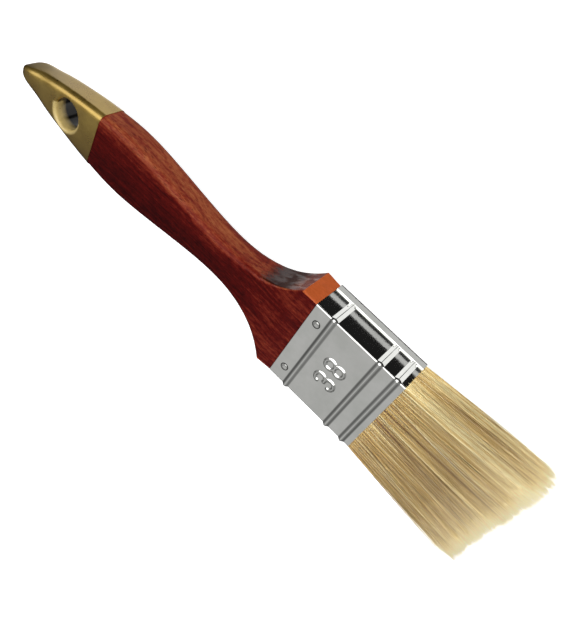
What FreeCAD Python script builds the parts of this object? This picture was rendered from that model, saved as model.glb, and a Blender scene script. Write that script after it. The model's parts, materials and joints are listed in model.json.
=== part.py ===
import FreeCAD, Part
import math
import os

from FreeCAD import Vector

# Flat varnish brush. Millimetres. +X points to the bristle, +Z is the normal of the front face,
# +Y is across the width. The origin is at the middle of the length and the width, on the
# surface that the brush lies on, which the ferrule beads touch.

# overall sizes
handleLength = 147.9          # tip to ferrule rim
ferruleLength = 39.0
bristleOut = 55.0             # free length of the bristle, mouth to tips
ferruleWidth = 38.6
ferruleThickness = 15.7

# ferrule sheet, its beads and the folded seam on the narrow side at +Y
sheet = 0.35
ferruleCornerRadius = 0.8
beadHeight = 0.75
beadWidth = 3.0
beadRound = 0.7
handleBeadFromRim = 7.85      # first bead, from the handle rim
mouthBeadFromMouth = 3.5      # last bead, from the bristle mouth
beadPitch = 7.55              # between the two beads by the mouth
seamWidth = 3.2
seamHeight = 0.7              # two thicknesses of the sheet
seamFromBack = 0.35           # from the back face to the seam

# handle, with stations measured from the ferrule rim
shoulderSetback = 6.3         # corner of the shoulder block, from the rim
shoulderProud = 0.45          # how far the shoulder stands out past the ferrule, each narrow side
shoulderThickProud = 0.1      # the same on the front and the back
rimFlush = 0.1                # the block is this much inside the ferrule's faces at the rim
rimGap = 0.15                 # between the block and the ferrule's rim
neckFromRim = 37.6
neckWidth = 14.75
neckThickness = 12.5
bellyFromRim = 91.5
bellyWidth = 25.0
bellyThickness = 12.9
tipThickness = 11.4           # the tip is nearly as thick as the grip, up to its rounded nose
tipBlunt = 0.6                # the last section is this far from the point
noseRound = 5.0               # the point is rounded through the thickness over this length
crispEdge = 0.5               # edge radius at the shoulder
gripEdge = 3.0                # edge radius in the grip and at the tip
tenonLength = 13.0
tenonClearance = 0.12

# hang hole
holeFromTip = 28.1
holeRadius = 6.0
holeLip = 1.3                 # round of the hole's edges

# enamel on the tip
dipLength = 43.7
coat = 0.2

# nails
nailFromRim = 3.8
nailSpacing = 25.0
nailHeadRadius = 1.6
nailHeadHeight = 0.45
nailShankRadius = 0.6
nailLength = 4.5
nailClearance = 0.02

# inside the ferrule
heelLength = 4.0              # resin between the tenon and the bristle butts
plugThickness = 4.0
plugShort = 2.5               # the plug ends this far inside the mouth
plugClearance = 0.1
buttClearance = 0.05

# free bristle
flareWidth = 5.2              # growth of the half width to the tips
flareThickness = 0.6          # growth of the half thickness to the tips
chisel = 3.5                  # the outer bristles end this much shorter than the middle ones
tipCrown = 2.5                # bow of the tip line across the width
bendClearance = 0.3           # between the moving bristle and the gripped bristle
bendLimit = 35.0              # degrees, each way

# size mark pressed out of the front panel: the width in millimetres, in plain figures
markHeight = 9.4
markStroke = 1.1
markGap = 2.2
markRise = 0.2

# derived sizes
innerHalfWidth = ferruleWidth / 2 - sheet
innerHalfThickness = ferruleThickness / 2 - sheet
innerCornerRadius = ferruleCornerRadius - sheet
midZ = ferruleThickness / 2 + beadHeight
totalLength = coat + handleLength + ferruleLength + bristleOut
rimX = coat + handleLength - totalLength / 2
mouthX = rimX + ferruleLength
tipX = rimX - handleLength
endX = mouthX + bristleOut
holeX = tipX + holeFromTip
dipX = tipX + dipLength
beadStations = [
    rimX + handleBeadFromRim,
    mouthX - mouthBeadFromMouth - beadPitch,
    mouthX - mouthBeadFromMouth,
]
tenonEndX = rimX + tenonLength
buttX = tenonEndX + heelLength
plugEndX = mouthX - plugShort
bendRadius = innerHalfThickness - buttClearance
bendX = mouthX + bendRadius + bendClearance
far = 2 * ferruleWidth        # past every piece, sideways
cornerShare = 0.7             # most of a section's half side that its corner may take


def roundedSection(x, halfWidth, halfThickness, radius):
    """Rounded rectangle in the YZ plane at x, centred on the middle of the thickness."""
    r = min(radius, halfWidth * cornerShare, halfThickness * cornerShare)
    k = r * (1 - math.sqrt(0.5))
    corners = []
    for index in range(4):
        sy = (1, -1, -1, 1)[index]
        sz = (1, 1, -1, -1)[index]
        side = Vector(x, sy * halfWidth, midZ + sz * (halfThickness - r))
        middle = Vector(x, sy * (halfWidth - k), midZ + sz * (halfThickness - k))
        top = Vector(x, sy * (halfWidth - r), midZ + sz * halfThickness)
        if index % 2 == 0:
            corners.append((side, middle, top))
        else:
            corners.append((top, middle, side))
    edges = []
    for index in range(4):
        start, middle, end = corners[index]
        edges.append(Part.Arc(start, middle, end).toShape())
        edges.append(Part.LineSegment(end, corners[(index + 1) % 4][0]).toShape())
    return Part.Wire(edges)


def bar(x0, x1, halfWidth, halfThickness, radius):
    """A straight bar of rounded section from x0 to x1."""
    face = Part.Face(roundedSection(x0, halfWidth, halfThickness, radius))
    return face.extrude(Vector(x1 - x0, 0, 0))


def box(x0, x1, y0, y1, z0, z1):
    return Part.makeBox(x1 - x0, y1 - y0, z1 - z0, Vector(x0, y0, z0))


def cylinderZ(radius, x, y, z0, z1):
    return Part.makeCylinder(radius, z1 - z0, Vector(x, y, z0))


def bendCylinder(radius):
    return Part.makeCylinder(radius, 2 * far, Vector(bendX, -far, midZ), Vector(0, 1, 0))


def write(name, shape):
    solids = shape.Solids
    if len(solids) != 1:
        raise ValueError("%s has %d solids" % (name, len(solids)))
    solid = solids[0]
    if not solid.isValid():
        raise ValueError(name + " is not a valid solid")
    solid.exportStep("parts/%s.step" % name)


# handle

def smoothStep(a, b, s):
    return a + (b - a) * (3 * s * s - 2 * s * s * s)


def handleHalfWidth(d):
    """Half width at a distance d from the ferrule rim."""
    shoulder = ferruleWidth / 2 + shoulderProud
    neck = neckWidth / 2
    belly = bellyWidth / 2
    if d <= neckFromRim:
        # concave flare, steep at the shoulder and flat at the neck
        s = (neckFromRim - d) / (neckFromRim - shoulderSetback)
        return neck + (shoulder - neck) * (s ** 2 + s ** 4.5) / 2
    if d <= bellyFromRim:
        return smoothStep(neck, belly, (d - neckFromRim) / (bellyFromRim - neckFromRim))
    # ogive from the belly to the point
    s = (d - bellyFromRim) / (handleLength - bellyFromRim)
    return belly * (1 - s ** 1.5) ** 0.7


def handleHalfThickness(d):
    shoulder = ferruleThickness / 2 + shoulderThickProud
    neck = neckThickness / 2
    belly = bellyThickness / 2
    if d <= neckFromRim:
        s = (neckFromRim - d) / (neckFromRim - shoulderSetback)
        return neck + (shoulder - neck) * s ** 2
    if d <= bellyFromRim:
        return smoothStep(neck, belly, (d - neckFromRim) / (bellyFromRim - neckFromRim))
    s = (d - bellyFromRim) / (handleLength - bellyFromRim)
    nose = max(0.0, 1 - (handleLength - d) / noseRound)
    return smoothStep(belly, tipThickness / 2, s) * math.sqrt(1 - nose ** 2)


def handleEdge(d):
    """Edge radius: crisp at the shoulder and full in the grip."""
    if d <= neckFromRim:
        s = (d - shoulderSetback) / (neckFromRim - shoulderSetback)
        return smoothStep(crispEdge, gripEdge, s)
    return gripEdge


def handleSection(d, grow):
    # the grown skin also reaches further out past the point
    s = max(0.0, (d - bellyFromRim) / (handleLength - bellyFromRim))
    return roundedSection(rimX - d - grow * s ** 4, handleHalfWidth(d) + grow,
                          handleHalfThickness(d) + grow, handleEdge(d) + grow)


def gripStations():
    """Distances from the rim, closer together where the outline is steep."""
    last = handleLength - tipBlunt
    flareSpan = neckFromRim - shoulderSetback
    flare = [shoulderSetback + flareSpan * (i / 6) ** 1.3 for i in range(6)]
    middle = [neckFromRim + (bellyFromRim - neckFromRim) * i / 4 for i in range(4)]
    ogive = [last - (last - bellyFromRim) * (1 - i / 8) ** 1.8 for i in range(9)]
    return flare + middle + ogive


def grip(grow=0.0):
    """From the shoulder's corner to the point, with every face moved out by grow."""
    return Part.makeLoft([handleSection(d, grow) for d in gripStations()], True, False)


def hangHole(radius):
    """Tool for the hang hole: a bore with both edges rounded over."""
    half = handleHalfThickness(handleLength - holeFromTip) + coat
    lip = holeLip + holeRadius - radius + coat
    outer = radius + lip
    k = lip * (1 - math.sqrt(0.5))
    straight = half - lip
    past = half + 3 * holeLip
    edges = []
    for side in (1, -1):
        start = Vector(radius, 0, side * straight)
        middle = Vector(radius + k, 0, side * (half - k))
        end = Vector(outer, 0, side * half)
        edges.append((start, middle, end, Vector(outer, 0, side * past), Vector(0, 0, side * past)))
    up, down = edges
    wire = Part.Wire([
        Part.Arc(up[0], up[1], up[2]).toShape(),
        Part.LineSegment(up[2], up[3]).toShape(),
        Part.LineSegment(up[3], up[4]).toShape(),
        Part.LineSegment(up[4], down[4]).toShape(),
        Part.LineSegment(down[4], down[3]).toShape(),
        Part.LineSegment(down[3], down[2]).toShape(),
        Part.Arc(down[2], down[1], down[0]).toShape(),
        Part.LineSegment(down[0], up[0]).toShape(),
    ])
    tool = Part.Face(wire).revolve(Vector(0, 0, 0), Vector(0, 0, 1), 360)
    tool.translate(Vector(holeX, 0, midZ))
    return tool


def nailPlaces():
    """Name, y and facing of each nail."""
    places = []
    for sideName, facing in (("front", 1), ("back", -1)):
        for handName, hand in (("left", -1), ("right", 1)):
            places.append(("nail_%s_%s" % (sideName, handName), hand * nailSpacing / 2, facing))
    return places


def nailShank(y, facing, radius, length):
    shank = Part.makeCylinder(radius, length, Vector(rimX + nailFromRim, y, midZ),
                              Vector(0, 0, facing))
    shank.translate(Vector(0, 0, facing * (ferruleThickness / 2 - length)))
    return shank


def makeHandle():
    flushWidth = ferruleWidth / 2 - rimFlush
    flushThickness = ferruleThickness / 2 - rimFlush
    block = Part.makeLoft([
        handleSection(shoulderSetback, 0.0),
        roundedSection(rimX - rimGap, flushWidth, flushThickness, crispEdge),
    ], True, True)
    tenon = bar(rimX - rimGap, tenonEndX, innerHalfWidth - tenonClearance,
                innerHalfThickness - tenonClearance, innerCornerRadius)
    wood = grip().fuse([block, tenon]).cut(hangHole(holeRadius + coat))
    holes = [nailShank(y, facing, nailShankRadius + nailClearance, nailLength + nailClearance)
             for name, y, facing in nailPlaces()]
    return wood.cut(holes)


def makeTipCoat(handle):
    skin = grip(coat)
    tipSide = box(tipX - far, dipX, -far, far, midZ - far, midZ + far)
    return skin.common(tipSide).cut(hangHole(holeRadius)).cut(handle)


# ferrule

def beadRing(station, width, rise, halfWidth, halfThickness, radius, edgeRound):
    band = bar(station - width / 2, station + width / 2, halfWidth + rise, halfThickness + rise,
               radius + rise)
    rims = [edge for edge in band.Edges if edge.BoundBox.XLength < 1e-6]
    return band.makeFillet(edgeRound, rims)


def ring(radius, x, y):
    """One round of a figure, a band as wide as the stroke."""
    z0 = midZ + ferruleThickness / 2 - sheet / 2
    z1 = midZ + ferruleThickness / 2 + markRise
    outer = cylinderZ(radius + markStroke / 2, x, y, z0, z1)
    return outer.cut(cylinderZ(radius - markStroke / 2, x, y, z0 - 1, z1 + 1))


def sizeMark():
    """The figures 3 and 8, with their tops towards the handle."""
    radius = (markHeight - markStroke) / 4
    half = radius + markStroke / 2
    centre = (beadStations[0] + beadStations[1]) / 2
    threeY = -markGap / 2 - half
    eightY = markGap / 2 + half
    figures = []
    for x in (centre - radius, centre + radius):
        figures.append(ring(radius, x, eightY))
        figures.append(ring(radius, x, threeY))
    opening = box(centre - radius, centre + radius, threeY - 2 * half, threeY - 0.25 * radius,
                  midZ, midZ + ferruleThickness)
    three = figures[1].fuse(figures[3]).cut(opening)
    eight = figures[0].fuse(figures[2])
    return [three, eight]


def makeFerrule():
    halfWidth = ferruleWidth / 2
    halfThickness = ferruleThickness / 2
    seamLow = midZ - halfThickness + seamFromBack
    seam = box(rimX, mouthX, halfWidth - sheet / 2, halfWidth + seamHeight,
               seamLow, seamLow + seamWidth)
    outside = [seam] + sizeMark()
    inside = []
    for station in beadStations:
        outside.append(beadRing(station, beadWidth, beadHeight, halfWidth, halfThickness,
                                ferruleCornerRadius, beadRound))
        inside.append(beadRing(station, beadWidth - 2 * sheet, beadHeight, innerHalfWidth,
                               innerHalfThickness, innerCornerRadius, beadRound - sheet))
    sleeve = bar(rimX, mouthX, halfWidth, halfThickness, ferruleCornerRadius).fuse(outside)
    bore = bar(rimX - 1, mouthX + 1, innerHalfWidth, innerHalfThickness, innerCornerRadius)
    sleeve = sleeve.cut(bore.fuse(inside))
    for name, y, facing in nailPlaces():
        sleeve = sleeve.cut(nailShank(y, facing, nailShankRadius + nailClearance, nailLength))
    return sleeve


def makeNail(y, facing):
    """A short nail with a low domed head that lies on the ferrule."""
    domeRadius = (nailHeadRadius ** 2 + nailHeadHeight ** 2) / (2 * nailHeadHeight)
    faceZ = midZ + facing * ferruleThickness / 2
    x = rimX + nailFromRim
    ball = Part.makeSphere(domeRadius, Vector(x, y, faceZ + facing * (nailHeadHeight - domeRadius)))
    slab = Part.makeCylinder(nailHeadRadius, nailHeadHeight, Vector(x, y, faceZ),
                             Vector(0, 0, facing))
    return ball.common(slab).fuse(nailShank(y, facing, nailShankRadius, nailLength))


# inside the ferrule

def makeEpoxy():
    return bar(tenonEndX, buttX, innerHalfWidth - buttClearance,
               innerHalfThickness - buttClearance, innerCornerRadius)


def makePlug():
    halfWidth = innerHalfWidth - buttClearance - plugClearance
    return box(buttX, plugEndX, -halfWidth, halfWidth, midZ - plugThickness / 2,
               midZ + plugThickness / 2)


def halfSpace(facing):
    """Everything in front of, or behind, the middle of the thickness."""
    z0 = midZ if facing > 0 else midZ - far
    return box(tipX - far, endX + far, -far, far, z0, z0 + far)


def makeButts():
    """The gripped bristle, with a round seat that the free bristle bends in."""
    reach = bendX - bendRadius * math.sin(math.radians(bendLimit)) - bendClearance
    gripped = bar(buttX, reach, innerHalfWidth - buttClearance, bendRadius, innerCornerRadius)
    plugRoom = box(buttX - 1, plugEndX + plugClearance, -far, far,
                   midZ - plugThickness / 2 - plugClearance,
                   midZ + plugThickness / 2 + plugClearance)
    return gripped.cut(plugRoom).cut(bendCylinder(bendRadius + bendClearance))


# free bristle

def makeTuft():
    halfWidth = innerHalfWidth - buttClearance
    root = bar(bendX - bendRadius, bendX, halfWidth, bendRadius, innerCornerRadius)
    root = root.common(bendCylinder(bendRadius))
    flared = Part.makeLoft([
        roundedSection(bendX, halfWidth, bendRadius, innerCornerRadius),
        roundedSection(endX, halfWidth + flareWidth, bendRadius + flareThickness,
                       innerCornerRadius),
    ], True, True)
    # the tip line is a bow across the width
    start = bendX - 2 * bendRadius
    side = halfWidth + flareWidth
    cornerX = endX - tipCrown
    crownWire = Part.Wire([
        Part.LineSegment(Vector(start, -far, 0), Vector(cornerX, -far, 0)).toShape(),
        Part.LineSegment(Vector(cornerX, -far, 0), Vector(cornerX, -side, 0)).toShape(),
        Part.Arc(Vector(cornerX, -side, 0), Vector(endX, 0, 0),
                 Vector(cornerX, side, 0)).toShape(),
        Part.LineSegment(Vector(cornerX, side, 0), Vector(cornerX, far, 0)).toShape(),
        Part.LineSegment(Vector(cornerX, far, 0), Vector(start, far, 0)).toShape(),
        Part.LineSegment(Vector(start, far, 0), Vector(start, -far, 0)).toShape(),
    ])
    crownTool = Part.Face(crownWire).extrude(Vector(0, 0, 2 * far))
    crownTool.translate(Vector(0, 0, midZ - far))
    # and a chisel through the thickness
    deep = bendRadius + flareThickness
    ridge = [Vector(endX - chisel, -far, midZ - deep), Vector(endX, -far, midZ),
             Vector(endX - chisel, -far, midZ + deep)]
    past = [Vector(endX - chisel, -far, midZ - far), Vector(start, -far, midZ - far),
            Vector(start, -far, midZ + far), Vector(endX - chisel, -far, midZ + far)]
    chiselWire = Part.Wire([
        Part.Arc(ridge[0], ridge[1], ridge[2]).toShape(),
        Part.LineSegment(ridge[2], past[3]).toShape(),
        Part.LineSegment(past[3], past[2]).toShape(),
        Part.LineSegment(past[2], past[1]).toShape(),
        Part.LineSegment(past[1], past[0]).toShape(),
        Part.LineSegment(past[0], ridge[0]).toShape(),
    ])
    chiselTool = Part.Face(chiselWire).extrude(Vector(0, 2 * far, 0))
    return root.fuse(flared).common(crownTool).common(chiselTool)


os.makedirs("parts", exist_ok=True)

handle = makeHandle()
write("handle", handle)
write("tip_dip_coat", makeTipCoat(handle))
write("ferrule", makeFerrule())
for name, y, facing in nailPlaces():
    write(name, makeNail(y, facing))
write("epoxy_set", makeEpoxy())
write("filler_plug", makePlug())
butts = makeButts()
tuft = makeTuft()
for bank, facing in (("front", 1), ("back", -1)):
    write(bank + "_bristle_butts", butts.common(halfSpace(facing)))
    write(bank + "_bristles", tuft.common(halfSpace(facing)))
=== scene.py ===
import json
import math

import bpy
import numpy as np
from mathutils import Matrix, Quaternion, Vector


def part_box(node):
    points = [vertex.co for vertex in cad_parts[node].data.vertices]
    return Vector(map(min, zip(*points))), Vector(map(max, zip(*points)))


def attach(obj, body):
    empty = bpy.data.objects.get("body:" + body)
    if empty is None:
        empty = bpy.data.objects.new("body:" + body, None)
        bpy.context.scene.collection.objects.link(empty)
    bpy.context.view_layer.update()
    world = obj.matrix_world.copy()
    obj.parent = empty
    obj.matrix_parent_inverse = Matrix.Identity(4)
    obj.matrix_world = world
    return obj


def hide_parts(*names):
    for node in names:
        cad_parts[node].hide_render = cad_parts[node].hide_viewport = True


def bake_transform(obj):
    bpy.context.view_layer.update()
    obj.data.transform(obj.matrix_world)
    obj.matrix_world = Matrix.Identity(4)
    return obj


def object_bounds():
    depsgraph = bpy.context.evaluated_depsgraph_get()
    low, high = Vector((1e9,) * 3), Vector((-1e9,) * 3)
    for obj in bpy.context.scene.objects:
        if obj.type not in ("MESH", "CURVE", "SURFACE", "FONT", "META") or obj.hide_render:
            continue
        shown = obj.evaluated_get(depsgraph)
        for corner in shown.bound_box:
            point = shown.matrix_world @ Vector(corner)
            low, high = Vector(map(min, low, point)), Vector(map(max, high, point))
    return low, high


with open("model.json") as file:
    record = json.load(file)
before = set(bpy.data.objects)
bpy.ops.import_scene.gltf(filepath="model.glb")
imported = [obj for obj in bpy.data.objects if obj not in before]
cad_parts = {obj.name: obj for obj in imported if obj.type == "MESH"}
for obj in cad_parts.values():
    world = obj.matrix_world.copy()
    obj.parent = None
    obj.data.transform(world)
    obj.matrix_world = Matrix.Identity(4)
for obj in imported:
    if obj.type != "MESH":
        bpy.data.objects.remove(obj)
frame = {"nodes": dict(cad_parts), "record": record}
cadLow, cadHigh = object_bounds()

mm = 0.001
print("frame loaded:", len(frame["nodes"]), "nodes")

# places that every piece shares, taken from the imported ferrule
ferruleLow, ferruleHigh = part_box("ferrule")
rimX, mouthX = ferruleLow.x, ferruleHigh.x
midZ = (ferruleLow.z + ferruleHigh.z) / 2
holeX = [m["pos_m"][0] for m in frame["record"]["mounts"] if m["name"] == "hang_hole"][0]


# small helpers

def clearSelection():
    if bpy.context.object and bpy.context.object.mode != "OBJECT":
        bpy.ops.object.mode_set(mode="OBJECT")
    bpy.ops.object.select_all(action="DESELECT")


def pick(obj):
    clearSelection()
    obj.select_set(True)
    bpy.context.view_layer.objects.active = obj


def colour(hexText):  # screen colour to the linear one that shaders take
    parts = [int(hexText[i:i + 2], 16) / 255 for i in (0, 2, 4)]
    return [p / 12.92 if p <= 0.04045 else ((p + 0.055) / 1.055) ** 2.4 for p in parts] + [1.0]


def newMaterial(name):
    material = bpy.data.materials.new(name)
    material.use_nodes = True
    return material, material.node_tree.nodes["Principled BSDF"]


def addNode(material, kind, inputs=None, **settings):
    node = material.node_tree.nodes.new(kind)
    for key, value in settings.items():
        setattr(node, key, value)
    for key, value in (inputs or {}).items():
        node.inputs[key].default_value = value
    return node


def join(material, fromNode, fromSocket, toNode, toSocket):
    material.node_tree.links.new(fromNode.outputs[fromSocket], toNode.inputs[toSocket])


def ramp(material, stops):
    node = material.node_tree.nodes.new("ShaderNodeValToRGB")
    band = node.color_ramp
    while len(band.elements) < len(stops):
        band.elements.new(0.5)
    for element, (place, shade) in zip(band.elements, stops):
        element.position = place
        element.color = shade
    return node


def grey(value):
    return [value, value, value, 1.0]


def objectNoise(material, scale, detail, rough, turn=(0, 0, 0), distortion=0.0):
    coords = addNode(material, "ShaderNodeTexCoord")
    mapping = addNode(material, "ShaderNodeMapping")
    mapping.inputs["Scale"].default_value = scale
    mapping.inputs["Rotation"].default_value = turn
    noise = addNode(material, "ShaderNodeTexNoise",
                    {"Scale": 1.0, "Detail": detail, "Roughness": rough, "Distortion": distortion})
    join(material, coords, "Object", mapping, "Vector")
    join(material, mapping, "Vector", noise, "Vector")
    return noise


def mixColours(material, factor, first, second, blend="MIX", amount=None):
    node = addNode(material, "ShaderNodeMix", data_type="RGBA", blend_type=blend, clamp_factor=True)
    if factor is None:
        node.inputs[0].default_value = amount
    else:
        material.node_tree.links.new(factor, node.inputs[0])
    for value, socket in ((first, node.inputs[6]), (second, node.inputs[7])):
        if isinstance(value, bpy.types.NodeSocket):
            material.node_tree.links.new(value, socket)
        else:
            socket.default_value = value
    return node.outputs[2]


def maths(material, operation, first, second=None, clamp=False):
    node = addNode(material, "ShaderNodeMath", operation=operation, use_clamp=clamp)
    for index, value in enumerate((first, second)):
        if isinstance(value, bpy.types.NodeSocket):
            material.node_tree.links.new(value, node.inputs[index])
        elif value is not None:
            node.inputs[index].default_value = value
    return node.outputs[0]


def addBump(material, shader, height, strength, distance, previous=None):
    bump = addNode(material, "ShaderNodeBump", {"Strength": strength, "Distance": distance})
    material.node_tree.links.new(height, bump.inputs["Height"])
    if previous:
        material.node_tree.links.new(previous.outputs["Normal"], bump.inputs["Normal"])
    join(material, bump, "Normal", shader, "Normal")
    return bump


def smoothCopy(node, name, angle=30, merge=0.002):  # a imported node's mesh, merged and smoothed
    piece = frame["nodes"][node].copy()
    piece.data = frame["nodes"][node].data.copy()
    piece.name = name
    piece.data.name = name
    for key in list(piece.keys()):
        if key.startswith("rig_"):
            del piece[key]
    piece.parent = None
    bpy.context.scene.collection.objects.link(piece)
    pick(piece)
    bpy.ops.object.mode_set(mode="EDIT")
    bpy.ops.mesh.select_all(action="SELECT")
    bpy.ops.mesh.remove_doubles(threshold=merge * mm)
    bpy.ops.mesh.dissolve_degenerate(threshold=merge * mm)
    bpy.ops.object.mode_set(mode="OBJECT")
    if piece.data.has_custom_normals:
        bpy.ops.mesh.customdata_custom_splitnormals_clear()
    bpy.ops.object.shade_smooth_by_angle(angle=math.radians(angle))
    return piece


def evenNormals(piece):  # wide faces count most, so the flats stay flat in reflections
    pick(piece)
    even = piece.modifiers.new("even", "WEIGHTED_NORMAL")
    even.weight = 80
    even.keep_sharp = True
    bpy.ops.object.modifier_apply(modifier="even")


def dress(piece, material, slot, body, *nodes):
    piece.data.materials.clear()
    piece.data.materials.append(material)
    if nodes:
        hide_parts(*nodes)
    if body:
        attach(piece, body)


# camera

cameraLook = {
    "place": (61.09, 171.52, 190.13),   # mm
    "aim": (18.47, -1.68, 8.6),
    "roll": 126.06,                     # degrees, clockwise
    "lens": 41.06,
}


def addCamera():
    data = bpy.data.cameras.new("studioCamera")
    camera = bpy.data.objects.new("studioCamera", data)
    bpy.context.scene.collection.objects.link(camera)
    place = Vector(cameraLook["place"]) * mm
    toward = Vector(cameraLook["aim"]) * mm - place
    camera.location = place
    camera.rotation_mode = "QUATERNION"
    turn = Quaternion((0, 0, 1), -math.radians(cameraLook["roll"]))
    camera.rotation_quaternion = toward.to_track_quat("-Z", "Y") @ turn
    data.sensor_width = 36
    data.lens = cameraLook["lens"]
    data.clip_start = 0.01
    data.clip_end = 50
    bpy.context.scene.camera = camera


addCamera()
print("camera placed")


# stained and lacquered wood

woodLook = {
    "dark": "2c0304",
    "red": "550c09",
    "brown": "7a2a1b",
    "orange": "a65c38",
    "pore": "260404",
    "coveReflection": "120605",           # painted dark reflection in the hollow below the shoulder
    "cutEdge": "cf6638",        # the bare-looking narrow facets beside the ferrule
    "cutShade": "a04a20",
    "slant": 5,                 # degrees, grain to handle
    "facetSide": 18.95,         # mm from the middle line
    "facetLength": 6.35,        # mm back from the rim, as are the next four and the hollow's two
    "blockFrom": 34,
    "blockTo": 10,
    "gripFrom": 26,
    "gripTo": 44,
    "besideWidth": 7,           # mm to +Y of the middle line
    "hollowFrom": 16,
    "hollowTo": 12,
    "hollowFray": 14,           # mm, how ragged the edge of the painted dark reflection is
}


def makeWood():
    look = woodLook
    material, shader = newMaterial("stained lacquered wood")
    slant = (0, 0, math.radians(look["slant"]))
    streaks = objectNoise(material, (30, 900, 600), 7, 0.68, slant, 0.2)
    bands = objectNoise(material, (10, 120, 70), 3, 0.5, (0, 0, slant[2] * 1.8), 0.5)
    pores = objectNoise(material, (330, 4200, 4200), 2, 0.5, slant)
    mottle = objectNoise(material, (420, 900, 900), 5, 0.7)
    coords = addNode(material, "ShaderNodeTexCoord")
    split = addNode(material, "ShaderNodeSeparateXYZ")
    join(material, coords, "Object", split, "Vector")
    surface = addNode(material, "ShaderNodeNewGeometry")
    facing = addNode(material, "ShaderNodeSeparateXYZ")
    join(material, surface, "Normal", facing, "Vector")
    # painted light: faces turned towards +Y are made lighter, and faces turned away from it darker
    sideLight = addNode(material, "ShaderNodeMapRange", {"From Min": -0.1, "From Max": 0.6,
                                                    "To Min": -0.13, "To Max": 0.01},
                   interpolation_type="SMOOTHSTEP")
    material.node_tree.links.new(facing.outputs["Y"], sideLight.inputs["Value"])
    # the wide block by the ferrule is made lighter towards the rim
    block = addNode(material, "ShaderNodeMapRange", {"From Min": rimX - look["blockFrom"] * mm,
                                                     "From Max": rimX - look["blockTo"] * mm,
                                                     "To Max": 0.075})
    join(material, split, "X", block, "Value")
    grain = maths(material, "MULTIPLY", streaks.outputs[0], 0.50)
    grain = maths(material, "ADD", grain, maths(material, "MULTIPLY", bands.outputs[0], 0.33))
    grain = maths(material, "ADD", grain, maths(material, "MULTIPLY", mottle.outputs[0], 0.38))
    grain = maths(material, "ADD", grain, maths(material, "SUBTRACT", sideLight.outputs[0], 0.105))
    grain = maths(material, "ADD", grain, block.outputs[0])
    # painted light: the +Y half of the grip is made lighter towards +Y
    beside = addNode(material, "ShaderNodeMapRange",
                     {"From Min": 0, "From Max": look["besideWidth"] * mm, "To Max": 0.10},
                     interpolation_type="SMOOTHSTEP")
    join(material, split, "Y", beside, "Value")
    onGrip = addNode(material, "ShaderNodeMapRange", {"From Min": rimX - look["gripFrom"] * mm,
                                                      "From Max": rimX - look["gripTo"] * mm})
    join(material, split, "X", onGrip, "Value")
    grain = maths(material, "ADD", grain, maths(material, "MULTIPLY", beside.outputs[0], onGrip.outputs[0]))
    tone = ramp(material, [(0.28, colour(look["dark"])), (0.45, colour(look["red"])),
                           (0.56, colour(look["brown"])), (0.74, colour(look["orange"]))])
    material.node_tree.links.new(grain, tone.inputs[0])
    # short dark pores along the grain
    poreMask = ramp(material, [(0.32, grey(1)), (0.42, grey(0))])
    material.node_tree.links.new(pores.outputs[0], poreMask.inputs[0])
    poreShare = maths(material, "MULTIPLY", poreMask.outputs[0], 0.7)
    stained = mixColours(material, poreShare, tone.outputs[0], colour(look["pore"]))
    # painted dark reflection on the flanks of the two hollows below the shoulder
    flank = addNode(material, "ShaderNodeMapRange", {"From Min": 0.62, "From Max": 0.8})
    material.node_tree.links.new(maths(material, "ABSOLUTE", facing.outputs["Y"]), flank.inputs["Value"])
    edge = maths(material, "MULTIPLY_ADD", mottle.outputs[0], look["hollowFray"] * mm)
    material.node_tree.links.new(split.outputs["X"], edge.node.inputs[2])
    hollow = addNode(material, "ShaderNodeMapRange", {"From Min": rimX - look["hollowFrom"] * mm,
                                                      "From Max": rimX - look["hollowTo"] * mm})
    material.node_tree.links.new(edge, hollow.inputs["Value"])
    paintedReflection = maths(material, "MULTIPLY", flank.outputs[0], hollow.outputs[0])
    paintedReflection = maths(material, "MULTIPLY", paintedReflection, 0.9)
    stained = mixColours(material, paintedReflection, stained, colour(look["coveReflection"]))
    # the cut facets at the two ends of the shoulder
    side = maths(material, "ABSOLUTE", split.outputs["Y"])
    side = maths(material, "GREATER_THAN", side, look["facetSide"] * mm)
    near = maths(material, "GREATER_THAN", split.outputs["X"], rimX - look["facetLength"] * mm)
    facet = maths(material, "MULTIPLY", side, near)
    facetTone = mixColours(material, mottle.outputs[0], colour(look["cutShade"]), colour(look["cutEdge"]))
    stained = mixColours(material, facet, stained, facetTone)
    material.node_tree.links.new(stained, shader.inputs["Base Color"])
    shader.inputs["Roughness"].default_value = 0.45
    shader.inputs["Specular IOR Level"].default_value = 0.03
    shader.inputs["Coat Roughness"].default_value = 0.08
    # a thin coat, thicker in the hollows
    gloss = addNode(material, "ShaderNodeMapRange", {"From Min": 0.25, "From Max": 0.5})
    material.node_tree.links.new(maths(material, "ABSOLUTE", facing.outputs["Y"]), gloss.inputs["Value"])
    gloss = maths(material, "MULTIPLY", gloss.outputs[0], hollow.outputs[0])
    runs = objectNoise(material, (22, 420, 420), 2, 0.5, (0, 0, 0), 0.3)
    runMask = ramp(material, [(0.44, grey(0.02)), (0.60, grey(1.0))])
    material.node_tree.links.new(runs.outputs[0], runMask.inputs[0])
    gloss = maths(material, "MULTIPLY", gloss, runMask.outputs[0])
    gloss = maths(material, "MULTIPLY_ADD", gloss, 0.62)
    gloss.node.inputs[2].default_value = 0.10
    material.node_tree.links.new(gloss, shader.inputs["Coat Weight"])
    shader.inputs["Coat IOR"].default_value = 1.45
    first = addBump(material, shader, poreMask.outputs[0], -0.2, 0.02 * mm)
    addBump(material, shader, streaks.outputs[0], 0.2, 0.05 * mm, first)
    return material


wood = makeWood()


# gold enamel

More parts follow.
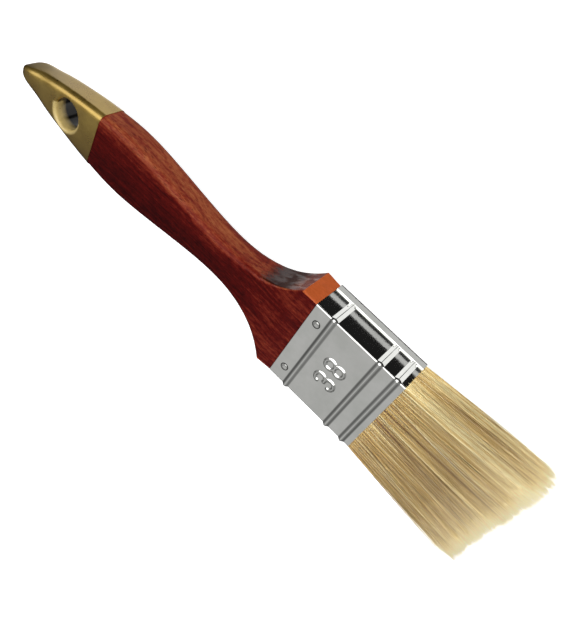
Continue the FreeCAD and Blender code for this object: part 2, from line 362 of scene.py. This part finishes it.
goldLook = {
    "base": "b89a4c",
    "shade": "a0823c",
    # the colour of the painted shade towards -Y
    "brown": "5c4418",
    # the colour of the painted shade deep in the bore
    "bore": "0c0804",
    "lip": "dcc583",
    "metallic": 0.82,
    "rough": 0.30,
    "boreOuter": 6.25,          # mm, where the painted shade in the middle of the bore fades in
    "boreInner": 6.05,
    "boreTop": 3.2,             # mm above the middle
    "boreDeep": 0.6,
    "lipOuter": 7.7,
    "lipInner": 6.9,
    "highlightTo": 1,                # mm, the painted highlight ends just past the middle line
    "shadeFrom": 4,
    "shadeTo": -9,
}


def makeGold():
    look = goldLook
    material, shader = newMaterial("gold enamel")
    mottle = objectNoise(material, (120, 160, 160), 4, 0.6)
    speck = objectNoise(material, (2600, 2600, 2600), 2, 0.5)
    tone = ramp(material, [(0.32, colour(look["shade"])), (0.62, colour(look["base"]))])
    material.node_tree.links.new(mottle.outputs[0], tone.inputs[0])
    coords = addNode(material, "ShaderNodeTexCoord")
    split = addNode(material, "ShaderNodeSeparateXYZ")
    join(material, coords, "Object", split, "Vector")
    # painted shade: darker and browner towards -Y, and nearly black in the middle of the bore
    left = addNode(material, "ShaderNodeMapRange", {"From Min": look["shadeFrom"] * mm,
                                                    "From Max": look["shadeTo"] * mm, "To Max": 0.7})
    material.node_tree.links.new(split.outputs["Y"], left.inputs["Value"])
    shadedGold = mixColours(material, left.outputs[0], tone.outputs[0], colour(look["brown"]))
    bore = addNode(material, "ShaderNodeVectorMath", operation="DISTANCE")
    flatten = addNode(material, "ShaderNodeVectorMath", operation="MULTIPLY")
    flatten.inputs[1].default_value = (1, 1, 0)
    join(material, coords, "Object", flatten, 0)
    join(material, flatten, 0, bore, 0)
    bore.inputs[1].default_value = (holeX, 0, 0)
    inBore = addNode(material, "ShaderNodeMapRange", {"From Min": look["boreOuter"] * mm,
                                                      "From Max": look["boreInner"] * mm})
    join(material, bore, "Value", inBore, "Value")
    depth = addNode(material, "ShaderNodeMapRange", {"From Min": midZ + look["boreTop"] * mm,
                                                     "From Max": midZ + look["boreDeep"] * mm})
    join(material, split, "Z", depth, "Value")
    # painted shade in the middle of the bore, where little light reaches
    bare = maths(material, "MULTIPLY", inBore.outputs[0], depth.outputs[0])
    shadedGold = mixColours(material, bare, shadedGold, colour(look["bore"]))
    fleck = ramp(material, [(0.35, grey(0.92)), (0.65, grey(1.0))])
    material.node_tree.links.new(speck.outputs[0], fleck.inputs[0])
    gold = mixColours(material, None, shadedGold, fleck.outputs[0], "MULTIPLY", 1.0)
    # painted highlight: pale and less metallic on the rim of the hole and the upper wall of the bore, on the
    # side towards -Y
    lip = addNode(material, "ShaderNodeMapRange", {"From Min": look["lipOuter"] * mm,
                                                   "From Max": look["lipInner"] * mm})
    join(material, bore, "Value", lip, "Value")
    pale = maths(material, "SUBTRACT", lip.outputs[0], bare, clamp=True)
    highlightSide = maths(material, "LESS_THAN", split.outputs["Y"], look["highlightTo"] * mm)
    pale = maths(material, "MULTIPLY", pale, highlightSide)
    gold = mixColours(material, maths(material, "MULTIPLY", pale, 0.6), gold, colour(look["lip"]))
    material.node_tree.links.new(gold, shader.inputs["Base Color"])
    metal = maths(material, "MULTIPLY_ADD", pale, -0.7)
    metal.node.inputs[2].default_value = look["metallic"]
    material.node_tree.links.new(metal, shader.inputs["Metallic"])
    roughness = ramp(material, [(0.3, grey(look["rough"] - 0.06)),
                                (0.7, grey(look["rough"] + 0.08))])
    material.node_tree.links.new(mottle.outputs[0], roughness.inputs[0])
    material.node_tree.links.new(roughness.outputs[0], shader.inputs["Roughness"])
    shader.inputs["Coat Weight"].default_value = 0.5
    shader.inputs["Coat Roughness"].default_value = 0.15
    addBump(material, shader, mottle.outputs[0], 0.15, 0.2 * mm)
    return material


gold = makeGold()


# plated sheet and nails

steelLook = {
    "bright": "f6f6f2",
    "dull": "eaebe6",
    # the colour of the painted shade in the gap round each nail head
    "gapShade": "30302e",
    "rough": 0.025,
    "nailRough": 0.12,
    "nailBack": 3.8,            # mm, nail to rim
    "nailSide": 12.5,           # mm, nail to the middle line
    "rimInner": 1.18,
    "rimOuter": 1.42,
}


def makeSteel(name, rough, wave):
    material, shader = newMaterial(name)
    patches = objectNoise(material, (110, 110, 110), 4, 0.6)
    fine = objectNoise(material, (1900, 1900, 1900), 3, 0.6)
    tone = ramp(material, [(0.35, colour(steelLook["dull"])), (0.65, colour(steelLook["bright"]))])
    material.node_tree.links.new(patches.outputs[0], tone.inputs[0])
    material.node_tree.links.new(tone.outputs[0], shader.inputs["Base Color"])
    shader.inputs["Metallic"].default_value = 1.0
    roughness = ramp(material, [(0.3, grey(rough * 0.8)), (0.7, grey(rough * 1.3))])
    material.node_tree.links.new(fine.outputs[0], roughness.inputs[0])
    material.node_tree.links.new(roughness.outputs[0], shader.inputs["Roughness"])
    first = addBump(material, shader, patches.outputs[0], 0.25, wave * mm)
    addBump(material, shader, fine.outputs[0], 0.1, 0.004 * mm, first)
    return material


plated = makeSteel("plated steel sheet", steelLook["rough"], 0.015)
nailSteel = makeSteel("nail steel", steelLook["nailRough"], 0.02)


def addNailRim(material):  # painted shade in the gap round each head
    look = steelLook
    shader = material.node_tree.nodes["Principled BSDF"]
    coords = addNode(material, "ShaderNodeTexCoord")
    folded = addNode(material, "ShaderNodeVectorMath", operation="ABSOLUTE")
    join(material, coords, "Object", folded, 0)
    flat = addNode(material, "ShaderNodeVectorMath", operation="MULTIPLY")
    flat.inputs[1].default_value = (1, 1, 0)
    join(material, folded, 0, flat, 0)
    away = addNode(material, "ShaderNodeVectorMath", operation="DISTANCE")
    away.inputs[1].default_value = (rimX + look["nailBack"] * mm, look["nailSide"] * mm, 0)
    join(material, flat, 0, away, 0)
    rim = addNode(material, "ShaderNodeMapRange", {"From Min": look["rimInner"] * mm,
                                                   "From Max": look["rimOuter"] * mm})
    join(material, away, "Value", rim, "Value")
    plain = shader.inputs["Base Color"].links[0].from_socket
    tone = mixColours(material, rim.outputs[0], plain, colour(look["gapShade"]))
    material.node_tree.links.new(tone, shader.inputs["Base Color"])


addNailRim(nailSteel)


# hidden wood and resin

def makePlugWood():
    material, shader = newMaterial("bare plug wood")
    streaks = objectNoise(material, (60, 900, 900), 5, 0.6)
    tone = ramp(material, [(0.3, colour("9c7446")), (0.7, colour("cda877"))])
    material.node_tree.links.new(streaks.outputs[0], tone.inputs[0])
    material.node_tree.links.new(tone.outputs[0], shader.inputs["Base Color"])
    shader.inputs["Roughness"].default_value = 0.7
    addBump(material, shader, streaks.outputs[0], 0.3, 0.1 * mm)
    return material


def makeResin():
    material, shader = newMaterial("amber resin")
    clouds = objectNoise(material, (160, 160, 160), 4, 0.6)
    tone = ramp(material, [(0.3, colour("7a531f")), (0.7, colour("b5853c"))])
    material.node_tree.links.new(clouds.outputs[0], tone.inputs[0])
    material.node_tree.links.new(tone.outputs[0], shader.inputs["Base Color"])
    shader.inputs["Roughness"].default_value = 0.25
    addBump(material, shader, clouds.outputs[0], 0.4, 0.2 * mm)
    return material


plugWood = makePlugWood()
resin = makeResin()
print("hard materials made")


# wooden handle, enamelled tip, nails and the pieces inside

shapedLook = {"angle": 46, "merge": 0.03}       # degrees, mm

for node, name, material, slot in (("handle", "wood_handle", wood, "stained_wood"),
                                   ("tip_dip_coat", "gold_tip", gold, "gold_enamel")):
    shaped = smoothCopy(node, name, shapedLook["angle"], shapedLook["merge"])
    evenNormals(shaped)
    dress(shaped, material, slot, "brush_body", node)
for end in ("front_left", "front_right", "back_left", "back_right"):
    nail = smoothCopy("nail_" + end, "nail_head_" + end, 40)
    dress(nail, nailSteel, "nail_steel", "brush_body", "nail_" + end)
dress(smoothCopy("filler_plug", "wood_plug"), plugWood, "plug_wood", "brush_body", "filler_plug")
dress(smoothCopy("epoxy_set", "resin_heel"), resin, "resin", "brush_body", "epoxy_set")
print("handle, tip, nails, plug and resin made")


# ferrule

ferruleLook = {
    "sheet": 0.35,
    "corner": 0.8,
    "cornerSegments": 6,
    "beads": (7.85, 27.95, 35.5),     # from the handle rim
    "beadHeight": 0.75,
    "beadWidth": 3.0,
    "beadCuts": 20,
    "seamWidth": 3.2,
    "seamHeight": 0.7,
    "seamFromBack": 0.35,
    "seamEdge": 0.15,           # the step down to a single sheet
    "endMargin": 0.5,
    "sideCut": 12,
    "cutSnap": 0.002,
    "smoothAngle": 38,
    "markHeight": 9.4,
    "markStroke": 1.5,
    "markGap": 2.2,
    "markRise": 0.50,
    "markCuts": 110,
}


def beadRise(x):  # a rolled bead: round on top, with a soft hollow at each foot
    half = ferruleLook["beadWidth"] / 2
    rise = 0.0
    for station in ferruleLook["beads"]:
        s = abs(x - rimX / mm - station) / half
        if s < 1:
            rise = ferruleLook["beadHeight"] * math.cos(math.pi * s / 2) ** 1.6
    return rise


def markDistance(x, y):  # from the middle line of the figures 3 and 8, tops towards the handle
    look = ferruleLook
    radius = (look["markHeight"] - look["markStroke"]) / 4
    half = radius + look["markStroke"] / 2
    centre = rimX / mm + (look["beads"][0] + look["beads"][1]) / 2
    best = 99.0
    for ringX in (centre - radius, centre + radius):
        eight = math.hypot(x - ringX, y - look["markGap"] / 2 - half)
        best = min(best, abs(eight - radius))
        dx, dy = x - ringX, y + look["markGap"] / 2 + half
        towardMiddle = dx if ringX < centre else -dx
        if dy < -0.25 * radius and towardMiddle > -0.25 * radius:
            # the open side of the 3: only the round ends of its strokes
            ends = ((0.968 * radius, -0.25 * radius), (-0.25 * radius, -0.968 * radius))
            for along, side in ends:
                best = min(best, math.hypot(towardMiddle - along, dy - side))
        else:
            best = min(best, abs(math.hypot(dx, dy) - radius))
    return best


def markRise(x, y):
    share = min(1.0, markDistance(x, y) / (ferruleLook["markStroke"] / 2 + 0.1))
    return ferruleLook["markRise"] * math.cos(math.pi * share / 2) ** 1.3


def cutAll(place, normal):  # a small snap, because a wide one pulls the flat panels out of true
    bpy.ops.mesh.select_all(action="SELECT")
    bpy.ops.mesh.bisect(plane_co=place, plane_no=normal, threshold=ferruleLook["cutSnap"] * mm)


def makeFerrule():
    look = ferruleLook
    length = (mouthX - rimX) / mm
    halfWidth = ferruleHigh.y / mm - look["beadHeight"]
    halfThickness = (ferruleHigh.z - ferruleLow.z) / mm / 2 - look["beadHeight"]
    clearSelection()
    bpy.ops.mesh.primitive_cube_add(size=1, location=((rimX + mouthX) / 2, 0, midZ))
    ferrule = bpy.context.object
    ferrule.name = "plated_ferrule"
    ferrule.scale = (length * mm, 2 * halfWidth * mm, 2 * halfThickness * mm)
    bpy.ops.object.transform_apply(location=True, rotation=True, scale=True)
    mesh = ferrule.data
    # open both ends
    bpy.ops.object.mode_set(mode="EDIT")
    bpy.ops.mesh.select_mode(type="FACE")
    bpy.ops.mesh.select_all(action="DESELECT")
    bpy.ops.object.mode_set(mode="OBJECT")
    for face in mesh.polygons:
        face.select = abs(face.normal.x) > 0.9
    bpy.ops.object.mode_set(mode="EDIT")
    bpy.ops.mesh.delete(type="ONLY_FACE")
    # round the four long edges
    bpy.ops.mesh.select_mode(type="EDGE")
    bpy.ops.mesh.select_all(action="DESELECT")
    bpy.ops.object.mode_set(mode="OBJECT")
    for edge in mesh.edges:
        a, b = (mesh.vertices[i].co for i in edge.vertices)
        edge.select = abs(a.x - b.x) > 1 * mm
    bpy.ops.object.mode_set(mode="EDIT")
    bpy.ops.mesh.bevel(offset=look["corner"] * mm, segments=look["cornerSegments"], profile=0.5)
    # cuts across: close together at each bead, at the ends of the mark and near both rims
    cuts = []
    half = look["beadWidth"] / 2
    for station in look["beads"]:
        for i in range(look["beadCuts"] + 1):
            cuts.append(station - half * math.cos(math.pi * i / look["beadCuts"]))
    markMiddle = (look["beads"][0] + look["beads"][1]) / 2
    markHalf = look["markHeight"] / 2 + look["endMargin"]
    cuts += [markMiddle - markHalf, markMiddle + markHalf, look["endMargin"], length - look["endMargin"]]
    for cut in sorted(cuts):
        cutAll((rimX + cut * mm, 0, 0), (1, 0, 0))
    # cuts along: the two sides of the mark and the edges of the folded seam
    markSide = look["markGap"] / 2 + look["markHeight"] / 2 + look["markStroke"] / 2 + 0.6
    for y in (-look["sideCut"], -markSide, markSide, look["sideCut"]):
        cutAll((0, y * mm, 0), (0, 1, 0))
    seamLow = look["seamFromBack"] - halfThickness
    seamHigh = seamLow + look["seamWidth"]
    for z in (seamHigh - look["seamEdge"], seamHigh, seamHigh + 0.05):
        cutAll((0, 0, midZ + z * mm), (0, 0, 1))
    # a close grid where the figures are pressed out
    bpy.ops.mesh.select_mode(type="FACE")
    bpy.ops.mesh.select_all(action="DESELECT")
    bpy.ops.object.mode_set(mode="OBJECT")
    for face in mesh.polygons:
        x, y = face.center.x / mm - rimX / mm, face.center.y / mm
        face.select = face.normal.z > 0.9 and abs(x - markMiddle) < markHalf and abs(y) < markSide
    bpy.ops.object.mode_set(mode="EDIT")
    bpy.ops.mesh.subdivide(number_cuts=look["markCuts"])
    bpy.ops.object.mode_set(mode="OBJECT")
    # push the sheet out along its normals: beads, seam and figures
    moves = []
    for vertex in mesh.vertices:
        x, y, z = vertex.co.x / mm, vertex.co.y / mm, (vertex.co.z - midZ) / mm
        rise = beadRise(x)
        if y > halfWidth - look["corner"] and z < seamHigh + 0.02:
            # the two-ply seam stands as high as the beads, which end at it
            fold = 1.0 if z < seamHigh - 0.1 else 0.75
            across = min(1.0, max(0.0, (y - halfWidth + look["corner"]) / look["corner"] * 2))
            rise = max(rise * (1 - across), look["seamHeight"] * fold * across)
        alongMark = abs(x - rimX / mm - markMiddle)
        if z > halfThickness - 0.01 and alongMark < markHalf and abs(y) < markSide:
            rise += markRise(x, y)
        moves.append(Vector(vertex.normal) * rise * mm)
    for vertex, move in zip(mesh.vertices, moves):
        vertex.co += move
    sheet = ferrule.modifiers.new("sheet", "SOLIDIFY")
    sheet.thickness = look["sheet"] * mm
    sheet.offset = -1
    bpy.ops.object.modifier_apply(modifier="sheet")
    bpy.ops.object.shade_smooth_by_angle(angle=math.radians(look["smoothAngle"]))
    evenNormals(ferrule)
    return ferrule


ferrule = makeFerrule()
dress(ferrule, plated, "plated_steel", "brush_body", "ferrule")
print("ferrule made:", len(ferrule.data.polygons), "faces")


# bristle

bristleLook = {
    "seed": 38,
    "strands": 14500,
    "rootInside": 3.0,          # mm, how deep the free strands start
    "rootRadius": 0.12,
    "tipRadius": 0.05,
    "flareWidth": 5.4,
    "flareThickness": 1.0,
    "crown": -0.4,
    "chisel": 3.4,
    "swell": 0.45,              # just outside the mouth
    "bigClump": 3.0,            # mm across
    "smallClump": 0.9,
    "bigPull": 0.12,            # how far tips draw together in their clump
    "smallPull": 0.22,
    "bigShift": 0.55,           # mm, how far clumps wander from each other
    "smallShift": 0.28,
    "wander": 0.35,
    "skinShare": 0.3,           # strands that lie in the outer layers, where they show
    "skinDepth": 0.10,
    "longSideShare": 0.72,      # of those, the ones on the two wide sides
    "corner": 0.7,
    "bigLength": 0.45,          # mm, spread of the tip line
    "smallLength": 0.7,
    "strandLength": 1.3,
    "shortShare": 0.08,
    "shortBy": (1, 9),          # mm
    "bow": 0.35,
    "strayShare": 0.022,
    "strayBow": 3.2,
    "strayReach": 1.6,
    "middleTone": 0.45,         # 0 dark, 1 pale
    "bigTone": 0.04,
    "smallTone": 0.08,
    "strandTone": 0.24,
    "litSideTone": 0.26,          # painted light: added towards +Y
    "strayTone": 0.3,
    "thickness": (0.8, 1.2),
    "steps": (0.0, 0.06, 0.16, 0.40, 0.66, 0.88, 1.0),      # rings along a strand, 0 root, 1 tip
}


def makeBristleMaterial():
    material, shader = newMaterial("natural bristle")
    tone = addNode(material, "ShaderNodeAttribute", attribute_name="tone")
    along = addNode(material, "ShaderNodeAttribute", attribute_name="along")
    shades = ramp(material, [(0.0, colour("7d5426")), (0.3, colour("ae8440")), (0.52, colour("c8a456")),
                             (0.75, colour("e2c680")), (1.0, colour("f6e8b4"))])
    join(material, tone, "Fac", shades, 0)
    pale = ramp(material, [(0.0, grey(0.0)), (0.62, grey(0.08)), (0.86, grey(0.4)), (1.0, grey(0.9))])
    join(material, along, "Fac", pale, 0)
    body = mixColours(material, pale.outputs[0], shades.outputs[0], colour("f2e8bf"))
    material.node_tree.links.new(body, shader.inputs["Base Color"])
    # light that comes through the thin ends
    through = ramp(material, [(0.0, grey(0.0)), (0.62, grey(0.02)), (0.88, grey(0.14)), (1.0, grey(0.4))])
    join(material, along, "Fac", through, 0)
    material.node_tree.links.new(body, shader.inputs["Emission Color"])
    join(material, through, 0, shader, "Emission Strength")
    shader.inputs["Roughness"].default_value = 0.42
    shader.inputs["Specular IOR Level"].default_value = 0.4
    shader.inputs["Sheen Weight"].default_value = 0.15
    return material


bristleMaterial = makeBristleMaterial()


def nearest(points, centres):  # index of the nearest centre for each point
    answer = np.empty(len(points), int)
    for start in range(0, len(points), 2000):
        block = points[start:start + 2000]
        gaps = ((block[:, None, :] - centres[None, :, :]) ** 2).sum(2)
        answer[start:start + 2000] = gaps.argmin(1)
    return answer


def growStrands():
    look = bristleLook
    chance = np.random.default_rng(look["seed"])
    buttLow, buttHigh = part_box("front_bristle_butts")
    halfWidth = buttHigh.y / mm - 0.05
    halfThickness = (buttHigh.z - midZ) / mm - 0.05
    count = look["strands"]
    root = chance.uniform(-1, 1, (count, 2)) * (halfWidth, halfThickness)
    skin = chance.random(count) < look["skinShare"]
    edge = chance.random(count)
    depth = chance.random(count) * look["skinDepth"]
    longSide = edge < look["longSideShare"]
    sign = np.where(chance.random(count) < 0.5, -1, 1)
    root[:, 1] = np.where(skin & longSide, sign * halfThickness * (1 - depth), root[:, 1])
    root[:, 0] = np.where(skin & ~longSide, sign * halfWidth * (1 - 0.4 * depth), root[:, 0])
    corner = look["corner"]
    over = np.maximum(np.abs(root) - (halfWidth - corner, halfThickness - corner), 0)
    reach = np.hypot(over[:, 0], over[:, 1])
    shrink = np.where(reach > corner, corner / np.maximum(reach, 1e-6), 1.0)
    inner = np.abs(root) - over
    root = np.sign(root) * (inner + over * shrink[:, None])

    bigCount = int(4 * halfWidth * halfThickness / look["bigClump"] ** 2)
    smallCount = int(4 * halfWidth * halfThickness / look["smallClump"] ** 2)
    bigCentre = chance.uniform(-1, 1, (bigCount, 2)) * (halfWidth, halfThickness)
    smallCentre = chance.uniform(-1, 1, (smallCount, 2)) * (halfWidth, halfThickness)
    big = nearest(root, bigCentre)
    small = nearest(root, smallCentre)
    bigShift = chance.normal(0, look["bigShift"], (bigCount, 2)) * (1.0, 0.5)
    smallShift = chance.normal(0, look["smallShift"], (smallCount, 2))
    bigTone = chance.normal(0, look["bigTone"], bigCount)
    smallTone = chance.normal(0, look["smallTone"], smallCount)
    bigLength = chance.normal(0, look["bigLength"], bigCount)
    smallLength = chance.normal(0, look["smallLength"], smallCount)

    grow = ((halfWidth + look["flareWidth"]) / halfWidth,
            (halfThickness + look["flareThickness"]) / halfThickness)
    tip = root * grow
    toBig = (bigCentre[big] * grow - tip) * look["bigPull"]
    toSmall = (smallCentre[small] * grow - tip) * look["smallPull"]
    tip = tip + toBig + toSmall
    tip = tip + bigShift[big] + smallShift[small] + chance.normal(0, look["wander"], (count, 2))
    share = np.abs(tip) / (halfWidth + look["flareWidth"], halfThickness + look["flareThickness"])
    tipX = cadHigh.x / mm - 0.4 - look["crown"] * share[:, 0] ** 2 - look["chisel"] * share[:, 1] ** 2
    tipX = tipX + bigLength[big] + smallLength[small] - np.abs(chance.normal(0, look["strandLength"], count))
    short = chance.random(count) < look["shortShare"]
    tipX = np.where(short, tipX - chance.uniform(*look["shortBy"], count), tipX)
    tipX = np.minimum(tipX, cadHigh.x / mm)
    lowest = -midZ / mm + 0.5           # the surface that the brush lies on
    tip[:, 1] = np.maximum(tip[:, 1], lowest + 0.3 * np.tanh(tip[:, 1] - lowest))
    bow = chance.normal(0, look["bow"], (count, 2))
    stray = chance.random(count) < look["strayShare"]
    bow = np.where(stray[:, None], bow * look["strayBow"], bow)
    strayTip = tip + chance.normal(0, look["strayReach"], (count, 2)) * (1, 0.35)
    tip = np.where(stray[:, None], strayTip, tip)
    tone = look["middleTone"] + bigTone[big] + smallTone[small] + chance.normal(0, look["strandTone"], count)
    # painted light: strands towards +Y are made paler
    tone = tone + np.interp(root[:, 0] / halfWidth, [0.2, 0.95], [0, look["litSideTone"]])
    tone = np.where(stray, tone + look["strayTone"], tone)
    thick = chance.uniform(*look["thickness"], count)
    return root, tip, tipX, bow, np.clip(tone, 0, 1), thick


def strandMesh(name, root, tip, tipX, bow, tone, thick):
    look = bristleLook
    steps = look["steps"]
    count, rings, sides = len(root), len(steps) - 1, 3
    startX = mouthX / mm - look["rootInside"]
    swell = look["swell"] * root / np.abs(root).max(axis=0)
    perStrand = rings * sides + 1
    points = np.zeros((count, perStrand, 3))
    along = np.zeros((count, perStrand))
    for ring, t in enumerate(steps):
        x = startX + (tipX - startX) * t
        bend = t ** 1.25
        centre = root + (tip - root) * bend + bow * (math.sin(math.pi * t) * (0.4 + 0.6 * t))
        centre = centre + swell * (1 - math.exp(-t / 0.05)) * (1 - 0.5 * t)
        radius = (look["rootRadius"] + (look["tipRadius"] - look["rootRadius"]) * t ** 1.6) * thick
        if ring == rings:
            points[:, -1, 0] = x
            points[:, -1, 1:] = centre
            along[:, -1] = 1
            continue
        for side in range(sides):
            angle = 2 * math.pi * side / sides + 0.5
            index = ring * sides + side
            points[:, index, 0] = x
            points[:, index, 1] = centre[:, 0] + radius * math.cos(angle)
            points[:, index, 2] = centre[:, 1] + radius * math.sin(angle)
            along[:, index] = t
    points[:, :, 2] += midZ / mm
    quads, triangles = [], [[2, 1, 0]]
    for ring in range(rings - 1):
        for side in range(sides):
            after = (side + 1) % sides
            quads.append([ring * sides + side, ring * sides + after,
                          (ring + 1) * sides + after, (ring + 1) * sides + side])
    last = (rings - 1) * sides
    for side in range(sides):
        triangles.append([last + side, last + (side + 1) % sides, rings * sides])
    offsets = np.arange(count) * perStrand
    faces = []
    for pattern in (quads, triangles):
        block = (offsets[:, None, None] + np.array(pattern)[None, :, :]).reshape(-1, len(pattern[0]))
        faces += block.tolist()
    mesh = bpy.data.meshes.new(name)
    mesh.from_pydata((points.reshape(-1, 3) * mm).tolist(), [], faces)
    for key, values in (("along", along), ("tone", np.repeat(tone[:, None], perStrand, 1))):
        attribute = mesh.attributes.new(key, "FLOAT", "POINT")
        attribute.data.foreach_set("value", values.astype(np.float32).ravel())
    mesh.polygons.foreach_set("use_smooth", np.ones(len(mesh.polygons), bool))
    mesh.update()
    piece = bpy.data.objects.new(name, mesh)
    bpy.context.scene.collection.objects.link(piece)
    return piece


def makeBristle():
    strands = growStrands()
    root = strands[0]
    for bank, front in (("front", True), ("back", False)):
        for hand, right in (("left", False), ("right", True)):
            chosen = ((root[:, 1] >= 0) == front) & ((root[:, 0] >= 0) == right)
            piece = strandMesh(bank + "_strands_" + hand, *[part[chosen] for part in strands])
            dress(piece, bristleMaterial, "bristle", None, bank + "_bristles")
            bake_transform(piece)
            print(piece.name, len(piece.data.polygons), "faces")


makeBristle()


def makeGrippedBristle(bank):  # the butts, cut off square where the free strands start
    piece = smoothCopy(bank + "_bristle_butts", bank + "_gripped_bristle")
    bpy.ops.object.mode_set(mode="EDIT")
    bpy.ops.mesh.select_all(action="SELECT")
    cut = mouthX - (bristleLook["rootInside"] + 0.1) * mm
    bpy.ops.mesh.bisect(plane_co=(cut, 0, 0), plane_no=(1, 0, 0), use_fill=True, clear_outer=True)
    bpy.ops.object.mode_set(mode="OBJECT")
    return piece


def makeButtMaterial():
    material, shader = newMaterial("gripped bristle")
    streaks = objectNoise(material, (30, 4500, 4500), 3, 0.6)
    tone = ramp(material, [(0.3, colour("6f5326")), (0.7, colour("b79652"))])
    material.node_tree.links.new(streaks.outputs[0], tone.inputs[0])
    material.node_tree.links.new(tone.outputs[0], shader.inputs["Base Color"])
    shader.inputs["Roughness"].default_value = 0.6
    addBump(material, shader, streaks.outputs[0], 0.5, 0.15 * mm)
    return material


buttMaterial = makeButtMaterial()
for bank in ("front", "back"):
    dress(makeGrippedBristle(bank), buttMaterial, "bristle", "brush_body", bank + "_bristle_butts")
print("bristle made")


# studio: floor, backdrop, lights and cards

studioLook = {
    "floorSize": 6.0,
    "floorColour": (0.86, 0.86, 0.86, 1),
    "floorGlow": 0.75,
    "backdrop": 0.98,
    "overhead": 1.3,            # watts
    "ridge": 0.4,
    "right": 4.2,
    "left": 1.6,
    "ends": 1.0,
    "tips": 3.2,
    "skyTop": 0.27,
    "skyHorizon": 0.07,
    "below": 0.012,
}


def glowMaterial(name, strength):
    material, shader = newMaterial(name)
    shader.inputs["Base Color"].default_value = (0, 0, 0, 1)
    shader.inputs["Roughness"].default_value = 1.0
    shader.inputs["Specular IOR Level"].default_value = 0.0
    shader.inputs["Emission Color"].default_value = (1, 1, 1, 1)
    shader.inputs["Emission Strength"].default_value = strength
    return material


def addFloor():
    clearSelection()
    bpy.ops.mesh.primitive_plane_add(size=studioLook["floorSize"], location=(0, 0, -0.05 * mm))
    floor = bpy.context.object
    floor.name = "floor"
    material, shader = newMaterial("pale floor")
    shader.inputs["Base Color"].default_value = studioLook["floorColour"]
    shader.inputs["Roughness"].default_value = 0.9
    shader.inputs["Specular IOR Level"].default_value = 0.0
    shader.inputs["Emission Color"].default_value = (1, 1, 1, 1)
    shader.inputs["Emission Strength"].default_value = studioLook["floorGlow"]
    floor.data.materials.append(material)
    floor.visible_glossy = False
    floor.visible_diffuse = False


def addBackdrop():
    clearSelection()
    bpy.ops.mesh.primitive_uv_sphere_add(segments=48, ring_count=24, radius=9, location=(0, 0, 0))
    drop = bpy.context.object
    drop.name = "backdrop"
    drop.data.materials.append(glowMaterial("pale backdrop", studioLook["backdrop"]))
    drop.visible_diffuse = False
    drop.visible_glossy = False
    drop.visible_shadow = False


def addCard(name, x, y, z, width, depth, strength, tilt=0):  # seen only in reflections
    clearSelection()
    bpy.ops.mesh.primitive_plane_add(size=1, location=(x, y, z), rotation=(math.radians(tilt), 0, 0))
    card = bpy.context.object
    card.name = name
    card.scale = (width, depth, 1)
    bpy.ops.object.transform_apply(location=False, rotation=False, scale=True)
    card.data.materials.append(glowMaterial(name, strength))
    card.visible_camera = False
    card.visible_diffuse = False
    card.visible_shadow = False


def addLight(name, place, target, width, height, power):
    data = bpy.data.lights.new(name, "AREA")
    data.shape = "RECTANGLE"
    data.size = width
    data.size_y = height
    data.energy = power
    light = bpy.data.objects.new(name, data)
    bpy.context.scene.collection.objects.link(light)
    light.location = place
    light.rotation_mode = "QUATERNION"
    light.rotation_quaternion = (Vector(target) - Vector(place)).to_track_quat("-Z", "Y")
    light.visible_camera = False
    light.visible_glossy = False


def addSky():
    world = bpy.data.worlds.new("studioSky")
    bpy.context.scene.world = world
    world.use_nodes = True
    coords = addNode(world, "ShaderNodeTexCoord")
    split = addNode(world, "ShaderNodeSeparateXYZ")
    lift = addNode(world, "ShaderNodeMath", {1: 0.5, 2: 0.5}, operation="MULTIPLY_ADD")
    band = ramp(world, [(0.45, grey(studioLook["below"])), (0.52, grey(studioLook["skyHorizon"])),
                        (0.62, grey(studioLook["skyHorizon"] * 1.8)),
                        (0.75, grey(studioLook["skyTop"])), (1.0, grey(studioLook["skyTop"]))])
    join(world, coords, "Generated", split, 0)
    join(world, split, "Z", lift, 0)
    join(world, lift, 0, band, 0)
    join(world, band, 0, world.node_tree.nodes["Background"], "Color")


addFloor()
addBackdrop()
addSky()
# places and sizes in metres
addLight("overhead softbox", (0.0, 0.05, 0.75), (0, 0, 0), 0.8, 0.8, studioLook["overhead"])
addLight("ridge softbox", (0.15, 0.42, 0.42), (0, 0, 0.01), 0.16, 0.3, studioLook["ridge"])
addLight("right softbox", (0.0, 0.7, 0.25), (0, 0, 0.01), 0.7, 0.35, studioLook["right"])
addLight("left softbox", (0.0, -0.8, 0.3), (0, 0, 0.01), 0.7, 0.35, studioLook["left"])
addLight("bristle end softbox", (0.8, 0.0, 0.3), (0, 0, 0.01), 0.5, 0.35, studioLook["tips"])
addLight("handle end softbox", (-0.8, 0.0, 0.3), (0, 0, 0.01), 0.5, 0.35, studioLook["ends"])
addCard("ridge card", -0.25, 0.343, 0.597, 1.7, 0.57, 2.3, -45)
addCard("front card", 0.05, -0.75, 0.76, 0.7, 0.8, 0.44, 45)
addCard("overhead card", 0.05, 0.05, 0.85, 0.5, 0.30, 1.2)
addCard("right table card", 0.290, 0.25, -0.3, 0.40, 0.9, 0.95)
addCard("left table card", -0.285, 0.25, -0.3, 0.45, 0.9, 0.95)
# light strips under the floor, for the narrow side of the ferrule to mirror
addCard("thin strip", 0.015, 0.2766, -0.3, 0.149, 0.0061, 0.50)
addCard("wide strip", 0.015, 0.2345, -0.3, 0.149, 0.0690, 0.52)
bpy.context.scene.view_settings.view_transform = "Standard"
bpy.context.scene.view_settings.look = "None"
print("studio made")
